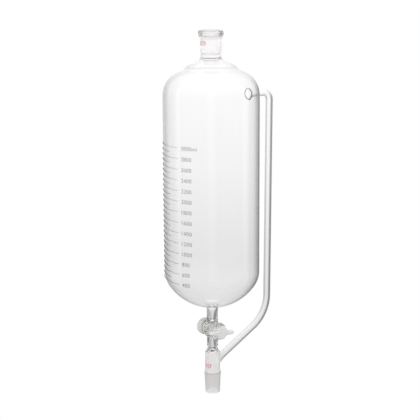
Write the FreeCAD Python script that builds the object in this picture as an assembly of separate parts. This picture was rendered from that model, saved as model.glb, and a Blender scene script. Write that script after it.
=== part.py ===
import FreeCAD, Part
import math
import os

from FreeCAD import Vector

# Graduated cylindrical dropping funnel with a pressure-equalising side arm.
# Millimetres. The origin is the centre of the lower cone's foot, +Z runs up the vessel's axis,
# the side arm stands on the +X side and the stopcock's handle points to -Y.

os.makedirs("parts", exist_ok=True)

# ---- Driving dimensions ----

# Reservoir
body_radius = 67.6
wall = 2.0
bottom_tangent_z = 183.2
bottom_knuckle_radius = 35.5
bottom_crown_radius = 74.0
top_tangent_z = 433.8
top_knuckle_radius = 36.0
top_crown_radius = 96.0
shoulder_seam_z = 412.0          # where the straight wall ends and the shoulder node starts

# Scale printed on the wall
first_mark_z = 177.4             # 400 ml
marked_volume = 200000.0         # cubic millimetres between two long marks
first_mark = 400
last_mark = 3000
mark_step = 200
mark_height = 0.7
mark_thickness = 0.12
long_mark_end_deg = 191.6        # angles about +Z from +X
short_mark_end_deg = 176.6
mark_start_deg = 141.0

# Ground joints: size 24/29, taper 1:10 on the diameter
joint_radius = 12.0
joint_length = 29.0
joint_taper = 0.1

# Neck and top socket
neck_radius = 14.3
neck_fillet = 4.0
neck_top_z = 488.4
waist_radius = 13.4
waist_z = 490.9
neck_bore_radius = 10.5
socket_radius = 14.5
socket_shoulder_z = 493.0
socket_ground_foot_z = 487.3
rim_foot_z = 511.8
rim_shoulder_z = 516.6
rim_radius = 17.4
rim_mouth_radius = 14.8
rim_top_z = 523.3

# Collar: the crown is drawn up to the neck over a hollow foot and a soft shoulder
collar_shoulder_radius = 25.0
collar_shoulder_x = 15.9         # centre of the shoulder's rounding
collar_shoulder_z = 456.9
collar_foot_radius = 15.0
collar_slope_deg = 22.0

# Stems above and below the stopcock
stem_radius = 8.0
stem_fillet = 8.0
passage_radius = 2.5

# Stopcock: 1:5 taper on the diameter, axis along Y
cock_z = 95.3
barrel_front_y = -16.0
barrel_rear_y = 9.5
barrel_wall = 2.9
barrel_rim_radius = 13.0
barrel_rim_width = 4.0
plug_front_radius = 8.8          # at barrel_front_y
plug_taper = 0.2
plug_clearance = 0.04
plug_rear_y = 8.6
hub_radius = 10.0
hub_front_y = -25.4
hub_rear_y = -18.6
handle_span = 43.0
handle_root_height = 8.0
handle_tip_height = 5.2
handle_depth = 6.2
handle_tilt_deg = 8.0            # how far the closed handle hangs off level
tail_radius = 4.8
tail_end_y = 24.4
tail_chamfer = 0.8
slip = 0.06                      # radial running clearance on the tail

# Washer, O-ring and tension nut
washer_radius = 9.6
washer_thickness = 1.3
ring_section_radius = 1.1
ring_mean_radius = 6.4
nut_radius = 12.5
nut_root_radius = 11.7
nut_length = 10.2
nut_rib_count = 20
nut_boss_radius = 7.6
nut_boss_height = 1.0

# Drip tube, ring seal, lower joint tube and cone
seal_z = 64.5
seal_thickness = 3.0
drip_radius = 5.0
drip_bore_radius = 3.6
drip_tip_radius = 4.0
drip_tip_bore_radius = 2.6
drip_taper_z = 24.0
drip_foot_z = 7.0
drip_bevel = 4.0
jacket_radius = 10.9
jacket_wall = 1.8
jacket_shoulder_radius = 3.2
cone_ground_foot_z = 2.0
cone_head_z = cone_ground_foot_z + joint_length
cone_head_radius = 9.7           # bore at the head
cone_foot_bore_radius = 8.7

# Side arm: one bent tube in the XZ plane
arm_radius = 5.2
arm_wall = 1.4
arm_port_z = 431.5
arm_port_flare = 9.2             # outer radius where the tube opens on the wall
arm_flare_length = 7.5
arm_elbow_radius = 11.0
arm_top_x = 103.3                # riser axis at the port's height
arm_corner_x = 100.3             # where the riser's and the foot's axes cross
arm_corner_z = 99.9
arm_bend_radius = 52.0
arm_foot_z = 42.1                # where the foot's axis would cross the vessel's axis

# ---- Values that follow from the dimensions ----

inner_radius = body_radius - wall
mark_spacing = marked_volume / (math.pi * inner_radius**2)
socket_ground_head_z = socket_ground_foot_z + joint_length
joint_small_radius = joint_radius - joint_length * joint_taper / 2
nut_face_y = barrel_rear_y + washer_thickness + 2 * ring_section_radius
nut_back_y = nut_face_y + nut_length
stem_bore_radius = stem_radius - wall


# ---- Helpers ----

def at(r, z):
    """A point of a profile: distance from the vessel's axis, and height."""
    return Vector(r, 0, z)


def line(start, end):
    return Part.LineSegment(start, end).toShape()


def polygon(points):
    """Straight edges through the points, in order."""
    return [line(a, b) for a, b in zip(points, points[1:])]


def arc(centre, radius, start_deg, end_deg, up=1):
    """An arc in the XZ plane. Angles run from +X towards +Z, or towards -Z where up is -1."""
    ends = []
    for degrees in (start_deg, (start_deg + end_deg) / 2, end_deg):
        angle = math.radians(degrees)
        ends.append(centre + Vector(radius * math.cos(angle), 0, up * radius * math.sin(angle)))
    return Part.Arc(*ends).toShape()


def circles_meet(centre_a, radius_a, centre_b, radius_b):
    """The point further from the axis where two circles in the XZ plane cross."""
    gap = centre_b - centre_a
    along = (radius_a**2 - radius_b**2 + gap.Length**2) / (2 * gap.Length)
    across = math.sqrt(radius_a**2 - along**2)
    unit = Vector(gap).normalize()
    return centre_a + unit * along + Vector(unit.z, 0, -unit.x) * across


def first_point(edge):
    return edge.valueAt(edge.FirstParameter)


def last_point(edge):
    return edge.valueAt(edge.LastParameter)


def lathe(edges, centre=Vector(0, 0, 0), axis=Vector(0, 0, 1)):
    """A closed profile turned once round an axis."""
    face = Part.Face(Part.Wire(Part.__sortEdges__(edges)))
    return face.revolve(centre, axis, 360)


def lathe_about_z(points):
    """A solid of revolution about Z from straight-sided (radius, height) corners."""
    corners = [at(r, z) for r, z in points]
    return lathe(polygon(corners + corners[:1]))


def lathe_about_cock(points):
    """A solid of revolution about the stopcock's axis from (y, radius) corners."""
    corners = [Vector(0, y, cock_z + r) for y, r in points]
    return lathe(polygon(corners + corners[:1]), Vector(0, 0, cock_z), Vector(0, 1, 0))


def cylinder(radius, start, end):
    """A cylinder between two points."""
    along = end - start
    return Part.makeCylinder(radius, along.Length, start, along)


def plug_radius(y):
    """Radius of the 1:5 taper at a place along the stopcock's axis."""
    return plug_front_radius - (y - barrel_front_y) * plug_taper / 2


def write(name, shape):
    """Checks a node and writes it."""
    if not shape.isValid():
        raise ValueError(name + " is not a valid shape")
    shape.exportStep("parts/" + name + ".step")
    box = shape.BoundBox
    print("%-18s %2d solid(s) %10.1f mm3  x %7.1f %7.1f  y %7.1f %7.1f  z %7.1f %7.1f" % (
        name, len(shape.Solids), shape.Volume,
        box.XMin, box.XMax, box.YMin, box.YMax, box.ZMin, box.ZMax))


# ---- Domed ends ----

class Dome:
    """A domed end: knuckle, crown and a fillet into a neck. All its walls share these centres."""

    def __init__(self, tangent_z, knuckle, crown, neck, fillet, up):
        self.up = up
        self.knuckle = knuckle
        self.crown = crown
        self.neck = neck
        self.fillet = fillet
        knuckle_x = body_radius - knuckle
        drop = math.sqrt((crown - knuckle)**2 - knuckle_x**2)
        rise = math.sqrt((crown + fillet)**2 - (neck + fillet)**2)
        self.knuckle_centre = at(knuckle_x, tangent_z)
        self.crown_centre = at(0, tangent_z - up * drop)
        self.fillet_centre = at(neck + fillet, self.crown_centre.z + up * rise)
        self.knuckle_end = math.degrees(math.atan2(drop, knuckle_x))
        self.crown_end = math.degrees(math.atan2(rise, neck + fillet))
        self.neck_z = self.fillet_centre.z

    def surface(self, inset):
        """Edges from the straight wall to the neck, on a surface that lies inset into the glass."""
        return [
            arc(self.knuckle_centre, self.knuckle - inset, 0, self.knuckle_end, self.up),
            arc(self.crown_centre, self.crown - inset, self.knuckle_end, self.crown_end, self.up),
            arc(self.fillet_centre, self.fillet + inset, self.crown_end + 180, 180, self.up),
        ]

    def solid(self, seam_z):
        """The glass from the seam with the straight wall to the end of the neck's fillet."""
        outer = self.surface(0)
        inner = self.surface(wall)
        outer_seam = at(body_radius, seam_z)
        inner_seam = at(inner_radius, seam_z)
        edges = outer + inner
        edges.append(line(at(self.neck, self.neck_z), at(self.neck - wall, self.neck_z)))
        edges.append(line(outer_seam, inner_seam))
        if abs(seam_z - self.knuckle_centre.z) > 0.001:
            edges.append(line(outer_seam, first_point(outer[0])))
            edges.append(line(inner_seam, first_point(inner[0])))
        return lathe(edges)


class CollaredDome(Dome):
    """The top end, whose crown is drawn up to the neck over a soft shoulder."""

    def __init__(self):
        super().__init__(top_tangent_z, top_knuckle_radius, top_crown_radius, neck_radius,
                         neck_fillet, 1)
        self.slope = math.radians(collar_slope_deg)
        self.shoulder_centre = at(collar_shoulder_x, collar_shoulder_z)
        self.foot_centre = circles_meet(
            self.crown_centre, self.crown + collar_foot_radius,
            self.shoulder_centre, collar_shoulder_radius + collar_foot_radius)
        fillet_x = neck_radius + neck_fillet
        run = collar_shoulder_x - fillet_x
        drop = (collar_shoulder_radius + neck_fillet) / math.cos(self.slope)
        fillet_z = collar_shoulder_z + run * math.tan(self.slope) + drop
        self.fillet_centre = at(fillet_x, fillet_z)
        self.neck_z = fillet_z

    def surface(self, inset):
        to_foot = self.foot_centre - self.crown_centre
        to_shoulder = self.shoulder_centre - self.foot_centre
        crown_end = math.degrees(math.atan2(to_foot.z, to_foot.x))
        foot_end = math.degrees(math.atan2(to_shoulder.z, to_shoulder.x)) % 360
        cap = 90 - collar_slope_deg
        knuckle = arc(self.knuckle_centre, self.knuckle - inset, 0, self.knuckle_end)
        crown = arc(self.crown_centre, self.crown - inset, self.knuckle_end, crown_end)
        foot = arc(self.foot_centre, collar_foot_radius + inset, crown_end - 180, foot_end - 360)
        shoulder = arc(self.shoulder_centre, collar_shoulder_radius - inset, foot_end - 180, cap)
        fillet = arc(self.fillet_centre, neck_fillet + inset, cap + 180, 180)
        cap_line = line(last_point(shoulder), first_point(fillet))
        return [knuckle, crown, foot, shoulder, cap_line, fillet]


top = CollaredDome()
bottom = Dome(bottom_tangent_z, bottom_knuckle_radius, bottom_crown_radius, stem_radius,
              stem_fillet, -1)


# ---- Side arm ----

class SideArm:
    """The bent tube's centre line, and solids that follow it."""

    def __init__(self):
        port = at(inner_radius, arm_port_z)
        elbow = at(arm_top_x, arm_port_z)
        corner = at(arm_corner_x, arm_corner_z)
        foot = at(0, arm_foot_z)
        elbow_bend = self.bend(port, elbow, corner, arm_elbow_radius)
        lower_bend = self.bend(elbow, corner, foot, arm_bend_radius)
        self.elbow_path = [line(port, first_point(elbow_bend)), elbow_bend]
        self.riser_path = [line(last_point(elbow_bend), first_point(lower_bend))]
        self.foot_path = [lower_bend, line(last_point(lower_bend), foot)]

    @staticmethod
    def bend(before, corner, after, radius):
        """The arc that rounds a corner of the centre line."""
        way_in = (before - corner).normalize()
        way_out = (after - corner).normalize()
        half_angle = way_in.getAngle(way_out) / 2
        reach = radius / math.tan(half_angle)
        centre = corner + (way_in + way_out).normalize() * (radius / math.sin(half_angle))
        middle = centre + (corner - centre).normalize() * radius
        return Part.Arc(corner + way_in * reach, middle, corner + way_out * reach).toShape()

    @staticmethod
    def rod(path, radius):
        """A round bar along the path."""
        start = first_point(path[0])
        along = path[0].tangentAt(path[0].FirstParameter)
        ring = Part.Wire(Part.makeCircle(radius, start, along))
        return Part.Wire(path).makePipeShell([ring], True, False)

    def tube(self, path):
        return self.rod(path, arm_radius).cut(self.rod(path, arm_radius - arm_wall))

    def flare(self, inset):
        """The trumpet shape with which the tube opens on the reservoir, inset into the glass."""
        mouth_x = body_radius
        throat_x = mouth_x + arm_flare_length
        mouth = arm_port_flare - inset
        throat = arm_radius - inset
        inside_x = inner_radius - 2.0
        points = [(inside_x, 0), (inside_x, mouth), (mouth_x, mouth)]
        corners = [Vector(x, 0, arm_port_z + r) for x, r in points]
        low = Vector(throat_x, 0, arm_port_z + throat)
        curve = Part.BezierCurve()
        curve.setPoles([
            corners[-1],
            Vector(mouth_x + 0.35 * arm_flare_length, 0, arm_port_z + throat + 0.25),
            low,
        ])
        axis_end = Vector(throat_x, 0, arm_port_z)
        edges = polygon(corners) + [curve.toShape()] + polygon([low, axis_end, corners[0]])
        return lathe(edges, Vector(0, 0, arm_port_z), Vector(1, 0, 0))


arm = SideArm()
port_hole = arm.flare(arm_wall)


# ---- Glass ----

def reservoir_wall():
    height = shoulder_seam_z - bottom_tangent_z
    base = at(0, bottom_tangent_z)
    outside = Part.makeCylinder(body_radius, height, base)
    return outside.cut(Part.makeCylinder(inner_radius, height, base))


def top_dome():
    return top.solid(shoulder_seam_z).cut(port_hole)


def bottom_dome():
    return bottom.solid(bottom_tangent_z)


def top_socket():
    """The 24/29 socket: drawn-in neck, ground taper and flared rim."""
    lip = (rim_radius - rim_mouth_radius) / 2
    lip_centre = at(rim_mouth_radius + lip, rim_top_z - lip)
    outside = [
        at(neck_radius, top.neck_z),
        at(neck_radius, neck_top_z),
        at(waist_radius, waist_z),
        at(socket_radius, socket_shoulder_z),
        at(socket_radius, rim_foot_z),
        at(rim_radius, rim_shoulder_z),
        at(rim_radius, rim_top_z - lip),
    ]
    inside = [
        at(rim_mouth_radius, rim_top_z - lip),
        at(joint_radius, socket_ground_head_z),
        at(joint_small_radius, socket_ground_foot_z),
        at(neck_bore_radius, socket_ground_foot_z - 0.8),
        at(neck_radius - wall, top.neck_z),
        at(neck_radius, top.neck_z),
    ]
    edges = polygon(outside) + [arc(lip_centre, lip, 0, 180)] + polygon(inside)
    return lathe(edges)


def barrel_outside():
    """The stopcock barrel without its bores."""
    front = plug_radius(barrel_front_y) + barrel_wall
    rear = plug_radius(barrel_rear_y) + barrel_wall
    rim_back_y = barrel_front_y + barrel_rim_width
    bead = 0.9
    return lathe_about_cock([
        (barrel_front_y, 0),
        (barrel_front_y, barrel_rim_radius - bead),
        (barrel_front_y + bead, barrel_rim_radius),
        (rim_back_y - 2 * bead, barrel_rim_radius),
        (rim_back_y + bead, front - barrel_rim_width * plug_taper / 2),
        (barrel_rear_y - 2 * bead, rear + bead * plug_taper),
        (barrel_rear_y - bead, rear + bead),
        (barrel_rear_y, rear + bead / 2),
        (barrel_rear_y, 0),
    ])


def taper_hole():
    """The ground taper that the plug turns in, run past both ends of the barrel."""
    past = 3.0
    ends = [barrel_front_y - past, barrel_rear_y + past]
    return lathe_about_cock([
        (ends[0], 0),
        (ends[0], plug_radius(ends[0])),
        (ends[1], plug_radius(ends[1])),
        (ends[1], 0),
    ])


def stopcock_barrel():
    passage = cylinder(passage_radius, at(0, cock_z - 2 * stem_radius), at(0, cock_z + 2 * stem_radius))
    return barrel_outside().cut(taper_hole()).cut(passage)


def outlet_stem():
    """From the bottom's drawn-out end to the barrel, with a bore that narrows downwards."""
    narrow_z = cock_z + plug_radius(0) + barrel_wall + 1.5
    stem = lathe_about_z([
        (stem_radius, bottom.neck_z),
        (stem_radius, cock_z),
        (passage_radius, cock_z),
        (passage_radius, narrow_z),
        (stem_bore_radius, bottom.neck_z),
    ])
    return stem.cut(barrel_outside())


def drip_tube():
    """From the barrel through the ring seal to the drip tip inside the cone."""
    wide_z = seal_z + 1.5
    narrow_z = cock_z - plug_radius(0) - barrel_wall - 1.0
    tube = lathe_about_z([
        (passage_radius, cock_z),
        (stem_radius, cock_z),
        (stem_radius, seal_z),
        (drip_radius, seal_z),
        (drip_radius, drip_taper_z),
        (drip_tip_radius, drip_foot_z),
        (drip_tip_bore_radius, drip_foot_z),
        (drip_bore_radius, drip_taper_z),
        (drip_bore_radius, wide_z - 6.0),
        (drip_bore_radius + 1.6, wide_z),
        (passage_radius, narrow_z),
    ])
    return tube.cut(barrel_outside()).cut(bevel_wedge())


def bevel_wedge():
    """What is ground off the drip tip, so that it ends in a point on one side."""
    reach = 2 * drip_tip_radius
    low_point = Vector(-drip_tip_radius, -reach, drip_foot_z)
    face = Part.Face(Part.makePolygon([
        low_point,
        Vector(reach, -reach, drip_foot_z),
        Vector(reach, -reach, drip_foot_z + drip_bevel * 1.5),
        low_point,
    ]))
    return face.extrude(Vector(0, 2 * reach, 0))


def lower_joint_tube():
    """The jacket round the drip tube, closed above by the ring seal and open to the side arm."""
    inside = jacket_radius - jacket_wall
    turn = jacket_shoulder_radius
    turn_centre = at(jacket_radius - turn, seal_z - turn - 1.2)
    inner_turn = turn - jacket_wall
    outside_arc = arc(turn_centre, turn, 0, 75)
    inside_arc = arc(turn_centre, inner_turn, 0, 90)
    web_z = seal_z - seal_thickness
    corners = [
        last_point(outside_arc),
        at(stem_radius, seal_z),
        at(drip_radius, seal_z),
        at(drip_radius, web_z - 0.5),
        last_point(inside_arc),
    ]
    edges = [
        outside_arc,
        inside_arc,
        line(at(jacket_radius, cone_head_z), first_point(outside_arc)),
        line(at(inside, cone_head_z), first_point(inside_arc)),
        line(at(inside, cone_head_z), at(jacket_radius, cone_head_z)),
    ]
    jacket = lathe(edges + polygon(corners))
    return jacket.cut(arm.rod(arm.foot_path, arm_radius - arm_wall).cut(drip_core()))


def drip_core():
    """The space inside the jacket, where the side arm's bore ends."""
    height = seal_z - cone_head_z
    return Part.makeCylinder(jacket_radius - jacket_wall, height, at(0, cone_head_z))


def lower_cone():
    """The 24/29 cone, with a short shoulder above the ground part and a fire-polished foot."""
    foot_radius = joint_small_radius
    polish = (foot_radius - cone_foot_bore_radius) / 2
    polish_centre = at(cone_foot_bore_radius + polish, polish)
    edges = [
        line(at(jacket_radius, cone_head_z), at(joint_radius - 0.3, cone_head_z)),
        line(at(joint_radius - 0.3, cone_head_z), at(joint_radius, cone_head_z - 0.4)),
        line(at(joint_radius, cone_head_z - 0.4), at(foot_radius, cone_ground_foot_z)),
        line(at(foot_radius, cone_ground_foot_z), at(foot_radius, polish)),
        arc(polish_centre, polish, -180, 0),
        line(at(cone_foot_bore_radius, polish), at(cone_head_radius, cone_head_z - 3.0)),
        line(at(cone_head_radius, cone_head_z - 3.0), at(jacket_radius - jacket_wall, cone_head_z)),
        line(at(jacket_radius - jacket_wall, cone_head_z), at(jacket_radius, cone_head_z)),
    ]
    return lathe(edges)


def side_arm_elbow():
    """The trumpet-shaped port and the tight bend above the riser."""
    outside = arm.flare(0).fuse(arm.rod(arm.elbow_path, arm_radius))
    inside = port_hole.fuse(arm.rod(arm.elbow_path, arm_radius - arm_wall))
    reservoir = Part.makeCylinder(body_radius, top_tangent_z - shoulder_seam_z, at(0, shoulder_seam_z))
    shoulder = lathe(
        [arc(top.knuckle_centre, top.knuckle, 0, top.knuckle_end)]
        + polygon([
            last_point(arc(top.knuckle_centre, top.knuckle, 0, top.knuckle_end)),
            at(0, top_tangent_z + top_knuckle_radius),
            at(0, top_tangent_z),
            at(body_radius, top_tangent_z),
        ])
    )
    return outside.cut(inside).cut(reservoir).cut(shoulder)


def side_arm_riser():
    return arm.tube(arm.riser_path)


def side_arm_foot():
    """The long bend and the slanting run that ends on the jacket."""
    jacket = Part.makeCylinder(jacket_radius, seal_z - cone_head_z, at(0, cone_head_z))
    return arm.tube(arm.foot_path).cut(jacket)


def graduation_marks():
    """Enamel ticks: a long one every 200 ml and a short one half way between."""
    marks = []
    half_steps = 2 * (last_mark - first_mark) // mark_step
    for index in range(half_steps + 1):
        z = first_mark_z + index * mark_spacing / 2
        end_deg = long_mark_end_deg if index % 2 == 0 else short_mark_end_deg
        corner = at(body_radius, z - mark_height / 2)
        strip = Part.makePlane(mark_thickness, mark_height, corner, Vector(0, -1, 0))
        strip = strip.revolve(Vector(0, 0, 0), Vector(0, 0, 1), end_deg - mark_start_deg)
        strip.rotate(Vector(0, 0, 0), Vector(0, 0, 1), mark_start_deg)
        marks.append(strip)
    return Part.Compound(marks)


# ---- Stopcock ----

def handle_wing(side):
    """One wing of the T-handle: it thins towards a rounded tip."""
    root = handle_root_height / 2
    tip = handle_tip_height / 2
    reach = handle_span / 2
    start = side * hub_radius * 0.5
    bend = side * (reach - tip)
    centre = Vector(0, hub_front_y, cock_z)
    corners = [
        centre + Vector(bend, 0, -tip),
        centre + Vector(start, 0, -root),
        centre + Vector(start, 0, root),
        centre + Vector(bend, 0, tip),
    ]
    end = Part.Arc(corners[-1], centre + Vector(side * reach, 0, 0), corners[0]).toShape()
    face = Part.Face(Part.Wire(polygon(corners) + [end]))
    return face.extrude(Vector(0, handle_depth, 0))


def stopcock_plug():
    """Taper, cross bore, hub with its T-handle, and the tail that carries the nut."""
    front = plug_radius(hub_rear_y) - plug_clearance
    rear = plug_radius(plug_rear_y) - plug_clearance
    edge = 1.0
    plug = lathe_about_cock([
        (hub_front_y, 0),
        (hub_front_y, hub_radius - edge),
        (hub_front_y + edge, hub_radius),
        (hub_rear_y - edge / 2, hub_radius),
        (hub_rear_y, hub_radius - edge / 2),
        (hub_rear_y, front),
        (plug_rear_y, rear),
        (plug_rear_y, tail_radius),
        (tail_end_y - tail_chamfer, tail_radius),
        (tail_end_y, tail_radius - tail_chamfer),
        (tail_end_y, 0),
    ])
    plug = plug.fuse(handle_wing(1)).fuse(handle_wing(-1)).removeSplitter()
    reach = 2 * plug_front_radius
    bore = cylinder(passage_radius, Vector(-reach, 0, cock_z), Vector(reach, 0, cock_z))
    plug = plug.cut(bore)
    plug.rotate(Vector(0, 0, cock_z), Vector(0, 1, 0), handle_tilt_deg)
    return plug


def plug_washer():
    rear_y = barrel_rear_y + washer_thickness
    return lathe_about_cock([
        (barrel_rear_y, tail_radius + slip),
        (barrel_rear_y, washer_radius),
        (rear_y, washer_radius),
        (rear_y, tail_radius + slip),
    ])


def plug_o_ring():
    centre = Vector(0, barrel_rear_y + washer_thickness + ring_section_radius, cock_z)
    return Part.makeTorus(ring_mean_radius, ring_section_radius, centre, Vector(0, 1, 0))


def nut_outline():
    """The ribbed outline of the nut as a face across the stopcock's axis."""
    step = 360.0 / nut_rib_count
    edges = []
    for index in range(nut_rib_count):
        ends = []
        for fraction, radius in ((0.0, nut_root_radius), (0.5, nut_radius), (1.0, nut_root_radius)):
            angle = math.radians((index + fraction) * step)
            ends.append(Vector(radius * math.cos(angle), nut_face_y, cock_z + radius * math.sin(angle)))
        edges.append(Part.Arc(*ends).toShape())
    return Part.Face(Part.Wire(edges))


def tension_nut():
    """Ribbed knob with rounded ends, a recess for the O-ring and a boss on its back."""
    body = nut_outline().extrude(Vector(0, nut_length, 0))
    edge = 1.2
    limits = lathe_about_cock([
        (nut_face_y, 0),
        (nut_face_y, nut_radius - edge),
        (nut_face_y + edge, nut_radius + 0.01),
        (nut_back_y - edge, nut_radius + 0.01),
        (nut_back_y, nut_radius - edge),
        (nut_back_y, 0),
    ])
    boss = lathe_about_cock([
        (nut_back_y - 1.0, 0),
        (nut_back_y - 1.0, nut_boss_radius),
        (nut_back_y + nut_boss_height - 0.4, nut_boss_radius),
        (nut_back_y + nut_boss_height, nut_boss_radius - 0.4),
        (nut_back_y + nut_boss_height, 0),
    ])
    hole = cylinder(tail_radius + slip, Vector(0, nut_face_y - 1.0, cock_z),
                    Vector(0, nut_back_y + 2.0, cock_z))
    return body.common(limits).fuse(boss).cut(hole).removeSplitter()


write("reservoir_wall", reservoir_wall())
write("top_dome", top_dome())
write("bottom_dome", bottom_dome())
write("top_socket", top_socket())
write("outlet_stem", outlet_stem())
write("stopcock_barrel", stopcock_barrel())
write("drip_tube", drip_tube())
write("lower_joint_tube", lower_joint_tube())
write("lower_cone", lower_cone())
write("side_arm_elbow", side_arm_elbow())
write("side_arm_riser", side_arm_riser())
write("side_arm_foot", side_arm_foot())
write("graduation_marks", graduation_marks())
write("stopcock_plug", stopcock_plug())
write("plug_washer", plug_washer())
write("plug_o_ring", plug_o_ring())
write("tension_nut", tension_nut())
print("mark spacing %.2f mm" % mark_spacing)
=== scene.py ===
import math

import bmesh
import bpy
from mathutils import Matrix, Vector


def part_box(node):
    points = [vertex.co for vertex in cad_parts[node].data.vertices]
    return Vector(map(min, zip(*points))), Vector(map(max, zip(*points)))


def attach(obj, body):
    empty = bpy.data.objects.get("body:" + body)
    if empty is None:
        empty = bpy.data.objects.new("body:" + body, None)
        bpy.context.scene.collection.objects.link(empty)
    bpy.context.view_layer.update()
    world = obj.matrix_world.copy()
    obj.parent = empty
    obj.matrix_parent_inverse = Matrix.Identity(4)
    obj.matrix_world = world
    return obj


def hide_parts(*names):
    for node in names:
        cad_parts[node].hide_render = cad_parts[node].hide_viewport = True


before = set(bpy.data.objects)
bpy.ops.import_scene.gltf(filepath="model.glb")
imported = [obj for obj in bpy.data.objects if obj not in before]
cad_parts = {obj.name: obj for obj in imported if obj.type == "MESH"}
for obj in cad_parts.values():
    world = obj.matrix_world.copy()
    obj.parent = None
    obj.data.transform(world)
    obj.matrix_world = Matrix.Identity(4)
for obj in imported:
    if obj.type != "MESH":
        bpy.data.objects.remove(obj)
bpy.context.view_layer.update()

# Graduated pressure-equalising dropping funnel. Lengths below are in millimetres and MM turns
# them into Blender's metres. Heights are above the foot of the lower cone. The side arm stands
# on +X, the stopcock's handle points to -Y, and the scale is round -X.

MM = 0.001
ROUND = 192                      # segments round the large glass
FINE = 96                        # segments round the small glass


# ---- Sizes taken from the frame ----

def low(node):
    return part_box(node)[0] / MM


def high(node):
    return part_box(node)[1] / MM


body_radius = high("reservoir_wall").x
rim_radius = high("top_socket").x
rim_top_z = high("top_socket").z
seal_z = high("lower_joint_tube").z
cone_head_z = high("lower_cone").z
joint_radius = high("lower_cone").x
cock_z = (low("stopcock_barrel").z + high("stopcock_barrel").z) / 2
barrel_front_y = low("stopcock_barrel").y
barrel_rear_y = high("stopcock_barrel").y
barrel_rim_radius = high("stopcock_barrel").z - cock_z
plug_front_y = low("stopcock_plug").y
tail_end_y = high("stopcock_plug").y
washer_rear_y = high("plug_washer").y
nut_face_y = low("tension_nut").y
nut_end_y = high("tension_nut").y
nut_radius = high("tension_nut").z - cock_z
mark_height = 0.7
first_mark_z = low("graduation_marks").z + mark_height / 2
last_mark_z = high("graduation_marks").z - mark_height / 2

# ---- Other sizes of the design ----

wall = 2.0
bottom_tangent_z, bottom_knuckle, bottom_crown = 183.2, 35.5, 74.0
top_tangent_z, top_knuckle, top_crown = 433.8, 36.0, 96.0
collar_shoulder, collar_shoulder_r, collar_shoulder_z = 25.0, 15.9, 456.9
collar_foot, collar_slope = 15.0, 22.0
stem_radius, stem_fillet = 8.0, 8.0
neck_radius, neck_fillet, neck_top_z = 14.3, 4.0, 488.4
waist_radius, waist_z = 13.4, 490.9
neck_bore = 10.5
socket_radius, socket_shoulder_z = 14.5, 493.0
ground_foot_z, ground_length = 487.3, 29.0
rim_foot_z, rim_shoulder_z, rim_mouth = 511.8, 516.6, 14.8
passage = 2.5
plug_front_radius, plug_taper = 8.8, 0.1      # radius at the barrel's front, loss per millimetre
barrel_wall, barrel_bead = 2.9, 0.9
stem_sunk, stem_flare_height, stem_spread = 1.6, 4.0, 2.2
drip_radius, drip_bore = 5.0, 3.6
drip_tip_radius, drip_tip_bore = 4.0, 2.6
drip_taper_z, drip_foot_z, drip_bevel = 24.0, 7.0, 4.0
jacket_radius, jacket_wall, jacket_turn = 10.9, 1.8, 3.2
cone_ground_foot_z, cone_head_bevel = 2.0, 0.4
cone_head_bore, cone_foot_bore = 9.7, 8.7
arm_radius, arm_wall = 5.2, 1.4
arm_port_z, arm_top_x, arm_elbow_radius = 431.5, 103.3, 11.0
arm_corner_x, arm_corner_z, arm_bend_radius = 100.3, 99.9, 52.0
arm_foot_z = 42.1
arm_flare, arm_flare_length = 9.2, 7.5        # radius at the reservoir, and how far it reaches
foot_flare, foot_flare_length = 1.5, 6.0      # gain in radius at the jacket, and how far it reaches
arm_sunk = 0.6                                # how deep the side arm is fused into the jacket
joint_small = joint_radius - 0.05 * ground_length
hub_radius, hub_rear_y = 10.0, -18.6
handle_reach, handle_depth, handle_tilt = 21.5, 6.2, 8.0
handle_root, handle_tip = 4.0, 2.6            # half heights
plug_rear_y, plug_press = 8.6, 0.03
tail_radius, slip = 4.8, 0.06
thread_pitch, thread_depth = 1.5, 0.6
washer_radius, washer_gap = 9.6, 0.02
seal_ring, seal_ring_mean = 1.1, 6.4
nut_ribs, rib_depth = 20, 0.8
nut_boss_radius, nut_boss_height = 7.6, 1.0
nut_ring_inner, nut_ring_outer, nut_ring_depth = 0.4, 2.6, 0.7
first_mark, mark_step, mark_count = 400, 200, 14
joint_size = "24/29"
socket_mark_z, jacket_mark_z = 506.4, 42.0

# Where each print starts, in degrees about +Z from +X.
figures_start, socket_mark_start, jacket_mark_start = 196.4, 146.0, 152.0

# Letters of each print: height, width, and how much is taken off their strokes.
FIGURES = (5.4, 4.0, 0.014)
SOCKET_MARK = (6.4, 2.9, 0.006)
JACKET_MARK = (6.6, 2.7, 0.006)


# ---- Mesh helpers ----

def make_object(name, mesh):
    thing = bpy.data.objects.new(name, mesh)
    bpy.context.scene.collection.objects.link(thing)
    return thing


def from_bmesh(name, bm):
    bmesh.ops.recalc_face_normals(bm, faces=bm.faces)
    mesh = bpy.data.meshes.new(name)
    bm.to_mesh(mesh)
    bm.free()
    return make_object(name, mesh)


def arc(centre, radius, start, end, steps):
    """Points (r, z) of an arc. Angles are in degrees from +r towards +z."""
    points = []
    for step in range(steps + 1):
        angle = math.radians(start + (end - start) * step / steps)
        points.append((centre[0] + radius * math.cos(angle), centre[1] + radius * math.sin(angle)))
    return points


def soften(corners, reach, steps=4):
    """Straight runs through (r, z) corners, with every inner corner rounded over a reach."""
    points = [corners[0]]
    for before, corner, after in zip(corners, corners[1:], corners[2:]):
        ends = []
        for other in (before, after):
            share = min(reach / math.dist(corner, other), 0.48)
            ends.append([c + (o - c) * share for c, o in zip(corner, other)])
        for step in range(steps + 1):
            t = step / steps
            weights = ((1 - t)**2, 2 * t * (1 - t), t**2)
            parts = zip(ends[0], corner, ends[1])
            points.append(tuple(sum(w * v for w, v in zip(weights, three)) for three in parts))
    points.append(corners[-1])
    return points


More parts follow.
